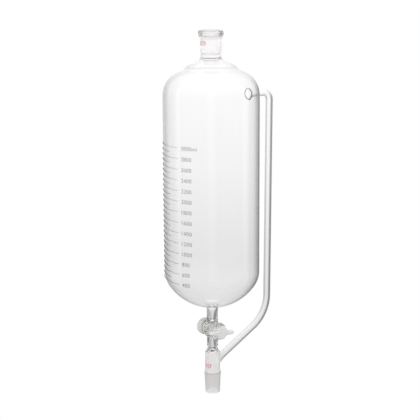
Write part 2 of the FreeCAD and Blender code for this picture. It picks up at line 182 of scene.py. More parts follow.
def circles_meet(centre_a, radius_a, centre_b, radius_b):
    """The point further from the axis where two circles cross."""
    gap = Vector(centre_b) - Vector(centre_a)
    along = (radius_a**2 - radius_b**2 + gap.length**2) / (2 * gap.length)
    across = math.sqrt(radius_a**2 - along**2)
    unit = gap.normalized()
    return Vector(centre_a) + unit * along + Vector((unit.y, -unit.x)) * across


def without_repeats(points, closed=True):
    """The points with neighbours that coincide merged."""
    kept = []
    for point in points:
        if not kept or math.dist(point, kept[-1]) > 1e-4:
            kept.append(point)
    if closed and math.dist(kept[0], kept[-1]) < 1e-4:
        kept.pop()
    return kept


def lathe(name, outline, segments, placement=Matrix.Identity(4), shape=None):
    """Turns a closed (radius, height) outline about the axis. Radii of 0 become single points.

    shape gives the radius at (radius, turn, height), for ribs and threads.
    """
    bm = bmesh.new()
    rings = []
    for radius, height in without_repeats(outline):
        if radius < 1e-6:
            rings.append([bm.verts.new(placement @ Vector((0, 0, height * MM)))])
            continue
        ring = []
        for index in range(segments):
            turn = 2 * math.pi * index / segments
            reach = shape(radius, turn, height) if shape else radius
            spot = Vector((reach * math.cos(turn), reach * math.sin(turn), height)) * MM
            ring.append(bm.verts.new(placement @ spot))
        rings.append(ring)
    for ring, following in zip(rings, rings[1:] + rings[:1]):
        if len(ring) == 1 and len(following) == 1:
            continue
        for index in range(segments):
            after = (index + 1) % segments
            corners = [ring[index % len(ring)], ring[after % len(ring)],
                       following[after % len(following)], following[index % len(following)]]
            corners = list(dict.fromkeys(corners))
            if len(corners) > 2:
                bm.faces.new(corners)
    return from_bmesh(name, bm)


def about_cock():
    """Placement that lays a lathe's axis along the stopcock's axis, height running along +Y."""
    return Matrix.Translation((0, 0, cock_z * MM)) @ Matrix.Rotation(math.radians(-90), 4, "X")


def tube_along(name, path, radii, segments):
    """A closed round bar along a path in the XZ plane, with a radius at every point of the path."""
    bm = bmesh.new()
    rings = []
    for index, spot in enumerate(path):
        before = path[max(index - 1, 0)]
        after = path[min(index + 1, len(path) - 1)]
        along = (after - before).normalized()
        side = Vector((0, 1, 0))
        up = along.cross(side)
        ring = []
        for corner in range(segments):
            turn = 2 * math.pi * corner / segments
            offset = (side * math.cos(turn) + up * math.sin(turn)) * radii[index]
            ring.append(bm.verts.new((spot + offset) * MM))
        rings.append(ring)
    for ring, following in zip(rings, rings[1:]):
        for corner in range(segments):
            after = (corner + 1) % segments
            bm.faces.new([ring[corner], ring[after], following[after], following[corner]])
    bm.faces.new(rings[0])
    bm.faces.new(rings[-1])
    return from_bmesh(name, bm)


def combine(target, tool, operation):
    """Boolean of two meshes, kept in target. The tool goes."""
    change = target.modifiers.new("cut", "BOOLEAN")
    change.operation = operation
    change.solver = "EXACT"
    change.object = tool
    graph = bpy.context.evaluated_depsgraph_get()
    mesh = bpy.data.meshes.new_from_object(target.evaluated_get(graph))
    target.modifiers.clear()
    old = target.data
    target.data = mesh
    bpy.data.meshes.remove(old)
    bpy.data.objects.remove(tool)
    return target


def smooth(thing, angle=32):
    """Smooth shading, with edges sharper than the angle kept sharp."""
    bm = bmesh.new()
    bm.from_mesh(thing.data)
    bmesh.ops.remove_doubles(bm, verts=bm.verts, dist=1e-7)
    for face in bm.faces:
        face.smooth = True
    for edge in bm.edges:
        edge.smooth = not edge.is_manifold or edge.calc_face_angle(0) < math.radians(angle)
    bm.to_mesh(thing.data)
    bm.free()


def finish_piece(thing, body, slot, *materials):
    """Materials and the body that the piece rides on. The slot is not used."""
    for material in materials:
        thing.data.materials.append(material)
    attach(thing, body)
    return thing


# ---- Node helpers ----

def shader(name):
    """A new material with only an output. Returns it with its nodes and links."""
    material = bpy.data.materials.new(name)
    material.use_nodes = True
    tree = material.node_tree
    tree.nodes.clear()
    tree.nodes.new("ShaderNodeOutputMaterial")
    return material, tree.nodes, tree.links


def add(nodes, kind, **inputs):
    """A node with some of its inputs set, named by their labels with _ for spaces."""
    node = nodes.new(kind)
    for label, value in inputs.items():
        node.inputs[label.replace("_", " ")].default_value = value
    return node


def maths(nodes, links, operation, first, second=None, clamp=False):
    """A Math node on sockets or numbers. Returns its output."""
    node = nodes.new("ShaderNodeMath")
    node.operation = operation
    node.use_clamp = clamp
    for index, value in enumerate((first, second)):
        if isinstance(value, (int, float)):
            node.inputs[index].default_value = value
        elif value is not None:
            links.new(value, node.inputs[index])
    return node.outputs[0]


# ---- Materials ----

GLASS_IOR = 1.474
GLASS_DENSITY = 6.0              # absorption per metre of glass


def glass_volume(nodes, links):
    """The faint grey of the glass, which gathers where the eye looks along a wall."""
    volume = add(nodes, "ShaderNodeVolumeAbsorption", Density=GLASS_DENSITY)
    volume.inputs["Color"].default_value = (0.10, 0.10, 0.10, 1)
    links.new(volume.outputs[0], nodes["Material Output"].inputs["Volume"])


def clear_glass():
    """Blown borosilicate: clean, with the faintest waviness of a drawn tube."""
    material, nodes, links = shader("clear_glass")
    surface = add(nodes, "ShaderNodeBsdfGlass", IOR=GLASS_IOR, Roughness=0.0)
    surface.inputs["Color"].default_value = (0.998, 0.998, 0.998, 1)
    place = nodes.new("ShaderNodeTexCoord")
    stretch = nodes.new("ShaderNodeMapping")
    stretch.inputs["Scale"].default_value = (22, 22, 4)
    wave = add(nodes, "ShaderNodeTexNoise", Scale=1.0, Detail=1.0)
    bump = add(nodes, "ShaderNodeBump", Strength=0.12, Distance=0.0006)
    links.new(place.outputs["Object"], stretch.inputs["Vector"])
    links.new(stretch.outputs[0], wave.inputs["Vector"])
    links.new(wave.outputs[0], bump.inputs["Height"])
    links.new(bump.outputs[0], surface.inputs["Normal"])
    links.new(surface.outputs[0], nodes["Material Output"].inputs["Surface"])
    glass_volume(nodes, links)
    return material


def frosted_glass(name, roughness, cover, tint):
    """Glass with a white bloom: frosted by grinding, with faint rings from the tool, or only hazed."""
    material, nodes, links = shader(name)
    rough = add(nodes, "ShaderNodeBsdfGlass", IOR=GLASS_IOR, Roughness=roughness)
    rough.inputs["Color"].default_value = (1.0, 0.995, 0.99, 1)
    white = add(nodes, "ShaderNodeBsdfDiffuse", Roughness=0.4)
    soft = nodes.new("ShaderNodeBsdfTranslucent")
    for bloom in (white, soft):
        bloom.inputs["Color"].default_value = (*tint, 1)
    place = nodes.new("ShaderNodeTexCoord")
    grain = add(nodes, "ShaderNodeTexNoise", Scale=2600.0, Detail=3.0)
    rings = nodes.new("ShaderNodeMapping")
    rings.inputs["Scale"].default_value = (8, 8, 900)
    turned = add(nodes, "ShaderNodeTexNoise", Scale=1.0, Detail=2.0)
    height = maths(nodes, links, "ADD", grain.outputs[0], turned.outputs[0])
    bump = add(nodes, "ShaderNodeBump", Strength=0.35, Distance=0.00008)
    frost = add(nodes, "ShaderNodeMixShader", Fac=0.15)
    blend = nodes.new("ShaderNodeMixShader")
    # The bloom is thinner at a grazing view, so that a frosted tube keeps its glassy edge.
    edge = add(nodes, "ShaderNodeLayerWeight", Blend=0.25)
    thin = maths(nodes, links, "MULTIPLY", edge.outputs["Facing"], 0.6)
    film = maths(nodes, links, "MULTIPLY", maths(nodes, links, "SUBTRACT", 1.0, thin), cover)
    links.new(film, blend.inputs[0])
    links.new(place.outputs["Object"], grain.inputs["Vector"])
    links.new(place.outputs["Object"], rings.inputs["Vector"])
    links.new(rings.outputs[0], turned.inputs["Vector"])
    links.new(height, bump.inputs["Height"])
    links.new(bump.outputs[0], rough.inputs["Normal"])
    links.new(bump.outputs[0], white.inputs["Normal"])
    links.new(white.outputs[0], frost.inputs[1])
    links.new(soft.outputs[0], frost.inputs[2])
    links.new(rough.outputs[0], blend.inputs[1])
    links.new(frost.outputs[0], blend.inputs[2])
    links.new(blend.outputs[0], nodes["Material Output"].inputs["Surface"])
    glass_volume(nodes, links)
    return material


def waxy(name, colour, roughness, depth, through, grain_size, grain):
    """A moulded or turned fluoropolymer or polyolefin: waxy, with light that soaks in."""
    material, nodes, links = shader(name)
    surface = add(nodes, "ShaderNodeBsdfPrincipled", Roughness=roughness, IOR=1.38)
    surface.inputs["Subsurface Weight"].default_value = 0.6
    surface.inputs["Subsurface Radius"].default_value = (depth, depth, depth * 0.9)
    surface.inputs["Subsurface Scale"].default_value = 1.0
    surface.inputs["Transmission Weight"].default_value = through
    place = nodes.new("ShaderNodeTexCoord")
    cloud = add(nodes, "ShaderNodeTexNoise", Scale=grain_size, Detail=4.0)
    tint = nodes.new("ShaderNodeMix")
    tint.data_type = "RGBA"
    tint.inputs[6].default_value = (*[c * 0.95 for c in colour], 1)
    tint.inputs[7].default_value = (*[min(1, c * 1.03) for c in colour], 1)
    bump = add(nodes, "ShaderNodeBump", Strength=grain, Distance=0.0001)
    links.new(place.outputs["Object"], cloud.inputs["Vector"])
    links.new(cloud.outputs[0], tint.inputs[0])
    links.new(tint.outputs[2], surface.inputs["Base Color"])
    links.new(cloud.outputs[0], bump.inputs["Height"])
    links.new(bump.outputs[0], surface.inputs["Normal"])
    links.new(surface.outputs[0], nodes["Material Output"].inputs["Surface"])
    return material


def seal_rubber():
    """Black rubber: dull, with a fine bloom."""
    material, nodes, links = shader("seal_rubber")
    surface = add(nodes, "ShaderNodeBsdfPrincipled", Roughness=0.5, IOR=1.5)
    place = nodes.new("ShaderNodeTexCoord")
    bloom = add(nodes, "ShaderNodeTexNoise", Scale=900.0, Detail=3.0)
    shades = nodes.new("ShaderNodeValToRGB")
    shades.color_ramp.elements[0].color = (0.02, 0.02, 0.021, 1)
    shades.color_ramp.elements[1].color = (0.06, 0.06, 0.063, 1)
    links.new(place.outputs["Object"], bloom.inputs["Vector"])
    links.new(bloom.outputs[0], shades.inputs[0])
    links.new(shades.outputs[0], surface.inputs["Base Color"])
    links.new(surface.outputs[0], nodes["Material Output"].inputs["Surface"])
    return material


def enamel(name, colour, wear):
    """Screen-printed, fired enamel: flat colour with slightly thin, speckled cover."""
    material, nodes, links = shader(name)
    surface = add(nodes, "ShaderNodeBsdfPrincipled", Roughness=0.5, IOR=1.45)
    surface.inputs["Base Color"].default_value = (*colour, 1)
    clear = nodes.new("ShaderNodeBsdfTransparent")
    place = nodes.new("ShaderNodeTexCoord")
    speckle = add(nodes, "ShaderNodeTexNoise", Scale=2400.0, Detail=2.0)
    thin = maths(nodes, links, "MULTIPLY", speckle.outputs[0], wear)
    cover = nodes.new("ShaderNodeMixShader")
    links.new(place.outputs["Object"], speckle.inputs["Vector"])
    links.new(thin, cover.inputs[0])
    links.new(surface.outputs[0], cover.inputs[1])
    links.new(clear.outputs[0], cover.inputs[2])
    links.new(cover.outputs[0], nodes["Material Output"].inputs["Surface"])
    return material


CLEAR = clear_glass()
SOCKET_GROUND = frosted_glass("ground_socket", 0.3, 0.85, (0.995, 0.985, 0.985))
# The cone is the same ground glass as the socket. Its bloom is painted greyer, as painted shade, so
# that it reads darker than the socket's white.
SHADED_CONE_GROUND = frosted_glass("ground_cone_painted_shade", 0.3, 0.80, (0.79, 0.77, 0.765))
HAZED = frosted_glass("hazed_glass", 0.2, 0.80, (0.93, 0.91, 0.90))
PTFE = waxy("white_ptfe", (0.68, 0.68, 0.67), 0.38, 0.0025, 0.0, 420.0, 0.12)
# A lighter copy of the same PTFE. Its extra whiteness is painted light that makes up for what the
# glass barrel takes from the taper, and the washer takes it too.
PTFE_PAINTED_LIGHTER = waxy("ptfe_painted_lighter", (0.90, 0.90, 0.89), 0.45, 0.0012, 0.0, 700.0, 0.05)
NUT = waxy("nut_plastic", (0.70, 0.71, 0.695), 0.35, 0.003, 0.12, 260.0, 0.10)
RUBBER = seal_rubber()
TICK_INK = enamel("tick_enamel", (0.02, 0.024, 0.04), 0.08)
FIGURE_INK = enamel("figure_enamel", (0.02, 0.022, 0.10), 0.05)
MARK_INK = enamel("size_mark_enamel", (0.60, 0.03, 0.09), 0.15)


# ---- Glass vessel ----

class Dome:
    """A domed end: knuckle, crown and a fillet into a neck, whose surfaces share their centres."""

    def __init__(self, tangent_z, knuckle, crown, neck, fillet, up):
        self.up, self.knuckle, self.crown, self.fillet = up, knuckle, crown, fillet
        self.tangent_z = tangent_z
        self.knuckle_r = body_radius - knuckle
        self.drop = math.sqrt((crown - knuckle)**2 - self.knuckle_r**2)
        rise = math.sqrt((crown + fillet)**2 - (neck + fillet)**2)
        self.fillet_centre = (neck + fillet, rise - self.drop)
        self.knuckle_end = math.degrees(math.atan2(self.drop, self.knuckle_r))
        self.crown_end = math.degrees(math.atan2(rise, neck + fillet))
        self.neck_z = tangent_z + up * self.fillet_centre[1]

    def placed(self, points):
        return [(r, self.tangent_z + self.up * h) for r, h in points]

    def outline(self, inset):
        """From the straight wall to the neck, on a surface that lies inset into the glass."""
        points = arc((self.knuckle_r, 0), self.knuckle - inset, 0, self.knuckle_end, 14)
        points += arc((0, -self.drop), self.crown - inset, self.knuckle_end, self.crown_end, 28)
        points += arc(self.fillet_centre, self.fillet + inset, self.crown_end + 180, 180, 10)
        return self.placed(points)


class CollaredDome(Dome):
    """The top end, whose crown is drawn up to the neck over a soft shoulder."""

    def __init__(self):
        super().__init__(top_tangent_z, top_knuckle, top_crown, neck_radius, neck_fillet, 1)
        slope = math.radians(collar_slope)
        self.shoulder_centre = (collar_shoulder_r, collar_shoulder_z - top_tangent_z)
        self.foot_centre = circles_meet((0, -self.drop), top_crown + collar_foot,
                                        self.shoulder_centre, collar_shoulder + collar_foot)
        fillet_r = neck_radius + neck_fillet
        run = self.shoulder_centre[0] - fillet_r
        rise = (collar_shoulder + neck_fillet) / math.cos(slope)
        fillet_h = self.shoulder_centre[1] + run * math.tan(slope) + rise
        self.fillet_centre = (fillet_r, fillet_h)
        self.neck_z = top_tangent_z + fillet_h

    def outline(self, inset):
        foot_r, foot_h = self.foot_centre
        inwards = (self.shoulder_centre[0] - foot_r, self.shoulder_centre[1] - foot_h)
        crown_end = math.degrees(math.atan2(foot_h + self.drop, foot_r))
        foot_end = math.degrees(math.atan2(inwards[1], inwards[0])) % 360
        cap = 90 - collar_slope
        points = arc((self.knuckle_r, 0), self.knuckle - inset, 0, self.knuckle_end, 14)
        points += arc((0, -self.drop), self.crown - inset, self.knuckle_end, crown_end, 22)
        points += arc(self.foot_centre, collar_foot + inset, crown_end - 180, foot_end - 360, 8)
        points += arc(self.shoulder_centre, collar_shoulder - inset, foot_end - 180, cap, 10)
        points += arc(self.fillet_centre, neck_fillet + inset, cap + 180, 180, 10)
        return self.placed(points)


def plug_radius(y):
    return plug_front_radius - (y - barrel_front_y) * plug_taper


def vessel_outline():
    """One closed outline: up the outside, over the rim, down the bore to the drip tip and back."""
    top = CollaredDome()
    bottom = Dome(bottom_tangent_z, bottom_knuckle, bottom_crown, stem_radius, stem_fillet, -1)
    polish = (joint_small - cone_foot_bore) / 2
    jacket_bore = jacket_radius - jacket_wall
    turn_centre = (jacket_radius - jacket_turn, seal_z - jacket_turn - 1.2)
    lip = (rim_radius - rim_mouth) / 2
    barrel_radius = plug_radius(0) + barrel_wall
    meets_barrel = barrel_radius - stem_sunk

    outside = arc((cone_foot_bore + polish, polish), polish, -180, 0, 12)
    outside += [(joint_small, cone_ground_foot_z), (joint_radius, cone_head_z - cone_head_bevel)]
    outside += [(joint_radius - 0.3, cone_head_z), (jacket_radius, cone_head_z + 0.5)]
    outside += arc(turn_centre, jacket_turn, 0, 75, 10)
    outside += [(stem_radius, seal_z)]
    outside += stem_flare(cock_z - meets_barrel, -stem_flare_height)
    outside += stem_flare(cock_z + meets_barrel, stem_flare_height)[::-1]
    outside += bottom.outline(0)[::-1]
    outside += top.outline(0)
    outside += soften([
        (neck_radius, top.neck_z),
        (neck_radius, neck_top_z),
        (waist_radius, waist_z),
        (socket_radius, socket_shoulder_z),
        (socket_radius, rim_foot_z),
        (rim_radius, rim_shoulder_z),
        (rim_radius, rim_top_z - lip),
    ], 1.5)
    outside += arc((rim_mouth + lip, rim_top_z - lip), lip, 0, 180, 12)

    inside = soften([
        (rim_mouth, rim_top_z - lip),
        (joint_radius, ground_foot_z + ground_length),
        (joint_small, ground_foot_z),
    ], 0.6)
    inside += [(neck_bore, ground_foot_z - 0.8)]
    inside += top.outline(wall)[::-1]
    inside += bottom.outline(wall)
    inside += [(passage, cock_z + barrel_radius + 1.5), (passage, cock_z - barrel_radius - 1.0)]
    inside += [(drip_bore + 1.6, seal_z + 1.5), (drip_bore, seal_z - 4.5), (drip_bore, drip_taper_z)]
    inside += [(drip_tip_bore, drip_foot_z)]

    return_up = [(drip_tip_radius, drip_foot_z), (drip_radius, drip_taper_z)]
    return_up += [(drip_radius, seal_z - 3.5)]
    return_up += arc(turn_centre, jacket_turn - jacket_wall, 90, 0, 6)
    return_up += [(jacket_bore, cone_head_z), (cone_head_bore, cone_head_z - 3.0)]
    return_up += [(cone_foot_bore, polish)]
    return outside + inside + return_up


def stem_flare(barrel_z, height):
    """The fused fillet where a stem spreads on to the barrel, from the stem's side."""
    points = []
    steps = 8
    for step in range(steps + 1):
        share = step / steps
        spread = stem_spread * share**3
        points.append((stem_radius + spread, barrel_z + height * (1 - share)))
    return points


def barrel_outside():
    """The stopcock's barrel without its bores: a rounded front rim, a taper and a rear bead."""
    front = plug_radius(barrel_front_y) + barrel_wall
    rear = plug_radius(barrel_rear_y) + barrel_wall
    outline = [(0, barrel_front_y)]
    outline += soften([
        (plug_front_radius, barrel_front_y),
        (barrel_rim_radius, barrel_front_y),
        (barrel_rim_radius, barrel_front_y + 3.2),
        (front - 0.4, barrel_front_y + 4.6),
        (rear + 0.1, barrel_rear_y - 2.4),
        (rear + barrel_bead, barrel_rear_y - 1.4),
        (rear + barrel_bead / 2, barrel_rear_y),
        (plug_radius(barrel_rear_y), barrel_rear_y),
    ], 1.2)
    outline += [(0, barrel_rear_y)]
    return lathe("barrel_tool", outline, FINE, about_cock())


def taper_hole():
    """The ground taper that the plug turns in, run past both ends of the barrel."""
    past = 3.0
    front, rear = barrel_front_y - past, barrel_rear_y + past
    outline = [(0, front), (plug_radius(front), front), (plug_radius(rear), rear), (0, rear)]
    return lathe("taper_tool", outline, FINE, about_cock())


def rounded_route(corners, radii, steps):
    """Points along straight runs joined by tangent arcs."""
    route = [corners[0]]
    for before, corner, after, radius in zip(corners, corners[1:], corners[2:], radii):
        way_in = (before - corner).normalized()
        way_out = (after - corner).normalized()
        half = way_in.angle(way_out) / 2
        reach = radius / math.tan(half)
        centre = corner + (way_in + way_out).normalized() * (radius / math.sin(half))
        start = corner + way_in * reach - centre
        end = corner + way_out * reach - centre
        turn = start.angle(end)
        for step in range(steps + 1):
            share = step / steps
            swung = start * math.sin((1 - share) * turn) + end * math.sin(share * turn)
            route.append(centre + swung / math.sin(turn))
    route.append(corners[-1])
    return route


def spread_points(route, spacing):
    """The route with long runs divided, so that radii can change along it."""
    points = [route[0]]
    for start, end in zip(route, route[1:]):
        pieces = max(1, round((end - start).length / spacing))
        points += [start.lerp(end, piece / pieces) for piece in range(1, pieces + 1)]
    return points


def arm_route(start_x, end_x):
    """The side arm's centre line from the reservoir to the jacket."""
    corner = Vector((arm_corner_x, 0, arm_corner_z))
    foot = Vector((0, 0, arm_foot_z))
    end = foot + (corner - foot) * (end_x / arm_corner_x)
    corners = [Vector((start_x, 0, arm_port_z)), Vector((arm_top_x, 0, arm_port_z)), corner, end]
    return rounded_route(corners, [arm_elbow_radius, arm_bend_radius], 24)


def arm_solid(name, inset, start_x, end_x):
    """The side arm's outside (inset 0) or its bore, flared at the reservoir and at the jacket."""
    route = spread_points(arm_route(start_x, end_x), 1.5)
    radii = []
    for spot in route:
        from_wall = (spot.x - body_radius) / arm_flare_length
        from_jacket = (spot.x - jacket_radius) / foot_flare_length
        radius = arm_radius - inset
        if spot.z > arm_port_z - 0.5 and from_wall < 1:
            radius += (arm_flare - arm_radius) * (1 - max(from_wall, 0))**2.2
        if spot.z < arm_corner_z and from_jacket < 1 and inset == 0:
            radius += foot_flare * (1 - max(from_jacket, 0))**2
        radii.append(radius)
    return tube_along(name, route, radii, 64)


def rod(name, radius, start, end, placement=Matrix.Identity(4)):
    """A plain cylinder on a lathe's axis."""
    return lathe(name, [(0, start), (radius, start), (radius, end), (0, end)], 64, placement)


def bevel_wedge():
    """What is ground off the drip tip, so that it ends in a point on one side."""
    reach = 2 * drip_tip_radius
    bm = bmesh.new()
    faces = []
    for y in (-reach, reach):
        corners = [(-drip_tip_radius, y, drip_foot_z), (reach, y, drip_foot_z + drip_bevel * 1.5)]
        corners += [(reach, y, drip_foot_z - 1), (-drip_tip_radius, y, drip_foot_z - 1)]
        faces.append([bm.verts.new(Vector(corner) * MM) for corner in corners])
        bm.faces.new(faces[-1])
    for side in range(4):
        after = (side + 1) % 4
        bm.faces.new([faces[0][side], faces[0][after], faces[1][after], faces[1][side]])
    return from_bmesh("bevel_tool", bm)


def vessel_glass():
    """The whole fused vessel as one closed glass mesh.

    The side arm and its bore run to the axis first. A rod then takes away what lies inside the
    jacket, so that both end on its curve.
    """
    glass = lathe("vessel_glass", vessel_outline(), ROUND)
    combine(glass, barrel_outside(), "UNION")
    below_arm, above_arm = 20, 80
    arm = arm_solid("arm_tool", 0, body_radius - wall / 2, 0)
    core = rod("core_tool", jacket_radius - arm_sunk, below_arm, above_arm)
    combine(arm, core, "DIFFERENCE")
    combine(glass, arm, "UNION")
    bore = arm_solid("bore_tool", arm_wall, body_radius - wall - 2, 0)
    core = rod("core_tool", jacket_radius - jacket_wall - 0.1, below_arm, above_arm)
    combine(bore, core, "DIFFERENCE")
    combine(glass, bore, "DIFFERENCE")
    combine(glass, taper_hole(), "DIFFERENCE")
    reach = plug_radius(0) + barrel_wall + 3
    combine(glass, rod("passage_tool", passage, cock_z - reach, cock_z + reach), "DIFFERENCE")
    combine(glass, bevel_wedge(), "DIFFERENCE")
    smooth(glass)
    return glass


def mark_ground_faces(glass):
    """Gives the socket and the cone their frosted materials and the jacket the hazed one.

    The socket is frosted inside and out, up to the flare under its rim.
    """
    socket_head = ground_foot_z + ground_length
    ground_head_z = cone_head_z - cone_head_bevel
    jacket_skin = 0.6
    for face in glass.data.polygons:
        centre = face.center / MM
        radius = math.hypot(centre.x, centre.y)
        on_tube = radius < socket_radius + 0.1 or centre.z < rim_shoulder_z - 1.0
        on_socket = ground_foot_z < centre.z < socket_head + 2 and on_tube
        on_cone = cone_ground_foot_z < centre.z < ground_head_z and radius > joint_small - 0.3
        off_jacket = abs(radius - jacket_radius)
        on_jacket = ground_head_z < centre.z < seal_z - 0.5 and off_jacket < jacket_skin
        if on_socket:
            face.material_index = 1
        elif on_cone:
            face.material_index = 2
        elif on_jacket:
            face.material_index = 3


vessel = vessel_glass()
mark_ground_faces(vessel)
finish_piece(vessel, "vessel", "clear_glass", CLEAR, SOCKET_GROUND, SHADED_CONE_GROUND, HAZED)
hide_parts("reservoir_wall", "top_dome", "bottom_dome", "top_socket", "outlet_stem",
            "stopcock_barrel", "drip_tube", "lower_joint_tube", "lower_cone", "side_arm_elbow",
            "side_arm_riser", "side_arm_foot")


# ---- Stopcock ----

def handle_bar():
    """The T-handle's bar along X: oval, swollen where it joins the hub, with rounded ends."""
    bm = bmesh.new()
    rings = []
    stations, corners = 64, 40
    swell_height, swell_start, swell_length = 2.6, 5.5, 7.0
    thinnest, roundness = 0.15, 0.72              # roundness 1 is an ellipse, less is squarer
    middle_y = plug_front_y + handle_depth / 2
    for station in range(stations + 1):
        x = -handle_reach * math.cos(math.pi * station / stations)
        share = abs(x) / handle_reach
        past = max(0.0, (abs(x) - handle_reach + handle_tip) / handle_tip)
        closing = max(math.sqrt(max(0.0, 1 - past**2)), thinnest)
        from_hub = max(0.0, abs(x) - swell_start) / swell_length
        swell = swell_height * max(0.0, 1 - from_hub)**2
        half_height = (handle_root + (handle_tip - handle_root) * share + swell) * closing
        half_depth = handle_depth / 2 * (0.45 + 0.55 * closing)
        ring = []
        for corner in range(corners):
            turn = 2 * math.pi * corner / corners
            across, up = math.cos(turn), math.sin(turn)
            y = middle_y + half_depth * math.copysign(abs(across)**roundness, across)
            z = cock_z + half_height * math.copysign(abs(up)**roundness, up)
            ring.append(bm.verts.new(Vector((x, y, z)) * MM))
        rings.append(ring)
    for ring, following in zip(rings, rings[1:]):
        for corner in range(corners):
            after = (corner + 1) % corners
            bm.faces.new([ring[corner], ring[after], following[after], following[corner]])
    bm.faces.new(rings[0])
    bm.faces.new(rings[-1])
    return from_bmesh("handle_bar", bm)


THREAD_START, THREAD_END = plug_rear_y + 2.6, tail_end_y - 0.9


def threaded(radius, turn, height):
    """A right-handed thread cut into the tail, which runs out at both ends."""
    if radius < tail_radius - 0.01 or not THREAD_START < height < THREAD_END:
        return radius
    phase = (height / thread_pitch - turn / (2 * math.pi)) % 1
    run_out = min(1.0, (height - THREAD_START) / thread_pitch, (THREAD_END - height) / thread_pitch)
    return radius - thread_depth * abs(2 * phase - 1) * run_out


def plug_body():
    """Hub, taper and threaded tail, turned about the stopcock's axis."""
    seat_radius = plug_radius(hub_rear_y) + plug_press
    rear_radius = plug_radius(plug_rear_y) + plug_press
    outline = [(0, plug_front_y + 1.1), (1.1, plug_front_y + 0.1)]
    outline += soften([
        (1.2, plug_front_y),
        (hub_radius - 2.2, plug_front_y),
        (hub_radius, plug_front_y + 2.2),
        (hub_radius, hub_rear_y - 0.7),
        (hub_radius - 0.7, hub_rear_y),
        (seat_radius, hub_rear_y),
        (rear_radius, plug_rear_y - 0.3),
        (rear_radius - 0.3, plug_rear_y),
        (tail_radius, plug_rear_y),
        (tail_radius, THREAD_START),
    ], 0.9)
    turns = round((THREAD_END - THREAD_START) / thread_pitch * 10)
    for step in range(1, turns):
        outline.append((tail_radius, THREAD_START + (THREAD_END - THREAD_START) * step / turns))
    outline += soften([
        (tail_radius, THREAD_END),
        (tail_radius - 0.8, tail_end_y),
        (0, tail_end_y),
    ], 0.4)
    return lathe("stopcock_plug", outline, 64, about_cock(), threaded)


def cock_plug():
    """The PTFE plug with its T-handle and cross bore, closed, with the handle a little off level."""
    plug = plug_body()
    combine(plug, handle_bar(), "UNION")
    sideways = Matrix.Translation((0, 0, cock_z * MM)) @ Matrix.Rotation(math.radians(90), 4, "Y")
    combine(plug, rod("cross_tool", passage, -20, 20, sideways), "DIFFERENCE")
    centre = Matrix.Translation((0, 0, cock_z * MM))
    tilt = Matrix.Rotation(math.radians(handle_tilt), 4, "Y")
    plug.data.transform(centre @ tilt @ centre.inverted())
    smooth(plug)
    return plug


def washer():
    """The washer behind the barrel, clear of its end face by a hair, so that the two can turn."""
    bore = tail_radius + slip
    front_y = barrel_rear_y + washer_gap
    corners = [(bore, front_y), (washer_radius, front_y), (washer_radius, washer_rear_y)]
    corners += [(bore, washer_rear_y), (bore, front_y)]
    thing = lathe("plug_washer", soften(corners, 0.3, 3), FINE, about_cock())
    smooth(thing)
    return thing


def o_ring():
    """The ring of rubber between the washer and the nut."""
    centre = (seal_ring_mean, washer_rear_y + seal_ring)
    thing = lathe("plug_o_ring", arc(centre, seal_ring, 0, 360, 24), FINE, about_cock())
    smooth(thing, 60)
    return thing


def ribbed(radius, turn, height):
    """Rounded ribs on the nut's rim, none on its boss or in its bore."""
    if radius < nut_boss_radius + 2.4:
        return radius
    return radius - rib_depth * (1 - abs(math.sin(nut_ribs * turn / 2)))


def knob():
    """The ribbed nut: rounded ends, a boss on its back and a shallow moulded ring round it."""
    bore = tail_radius + slip
    back_y = nut_end_y - nut_boss_height
    outline = soften([
        (bore, nut_face_y + 0.5),
        (bore + 0.5, nut_face_y),
        (nut_radius - 1.4, nut_face_y),
        (nut_radius, nut_face_y + 1.4),
        (nut_radius, back_y - 1.4),
        (nut_radius - 1.4, back_y),
        (nut_boss_radius + nut_ring_outer, back_y),
        (nut_boss_radius + nut_ring_outer - 0.6, back_y - nut_ring_depth),
        (nut_boss_radius + nut_ring_inner, back_y - nut_ring_depth),
        (nut_boss_radius, back_y),
        (nut_boss_radius - 0.3, nut_end_y),
        (bore + 0.4, nut_end_y),
        (bore, nut_end_y - 0.4),
        (bore, nut_face_y + 0.5),
    ], 0.5, 3)
    thing = lathe("tension_nut", outline, 12 * nut_ribs, about_cock(), ribbed)
    smooth(thing, 40)
    return thing


def swap_in(piece, body, slot, node, *materials):
    """Finishes a piece that stands in for one CAD node."""
    finish_piece(piece, body, slot, *materials)
    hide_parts(node)


def mark_taper(plug):
    """Gives the plug's taper the lighter copy of the PTFE, whose extra whiteness is painted light for
    what the glass barrel takes. The handle keeps the plain one.
    """
    for face in plug.data.polygons:
        if barrel_front_y < face.center.y / MM < barrel_rear_y:
            face.material_index = 1
    return plug


swap_in(mark_taper(cock_plug()), "plug", "white_ptfe", "stopcock_plug", PTFE, PTFE_PAINTED_LIGHTER)
# The washer is painted a shade lighter too, with the same copy of the PTFE.
swap_in(washer(), "seals", "white_ptfe", "plug_washer", PTFE_PAINTED_LIGHTER)
swap_in(o_ring(), "seals", "seal_rubber", "plug_o_ring", RUBBER)
swap_in(knob(), "nut", "nut_plastic", "tension_nut", NUT)


# ---- Print on the glass ----

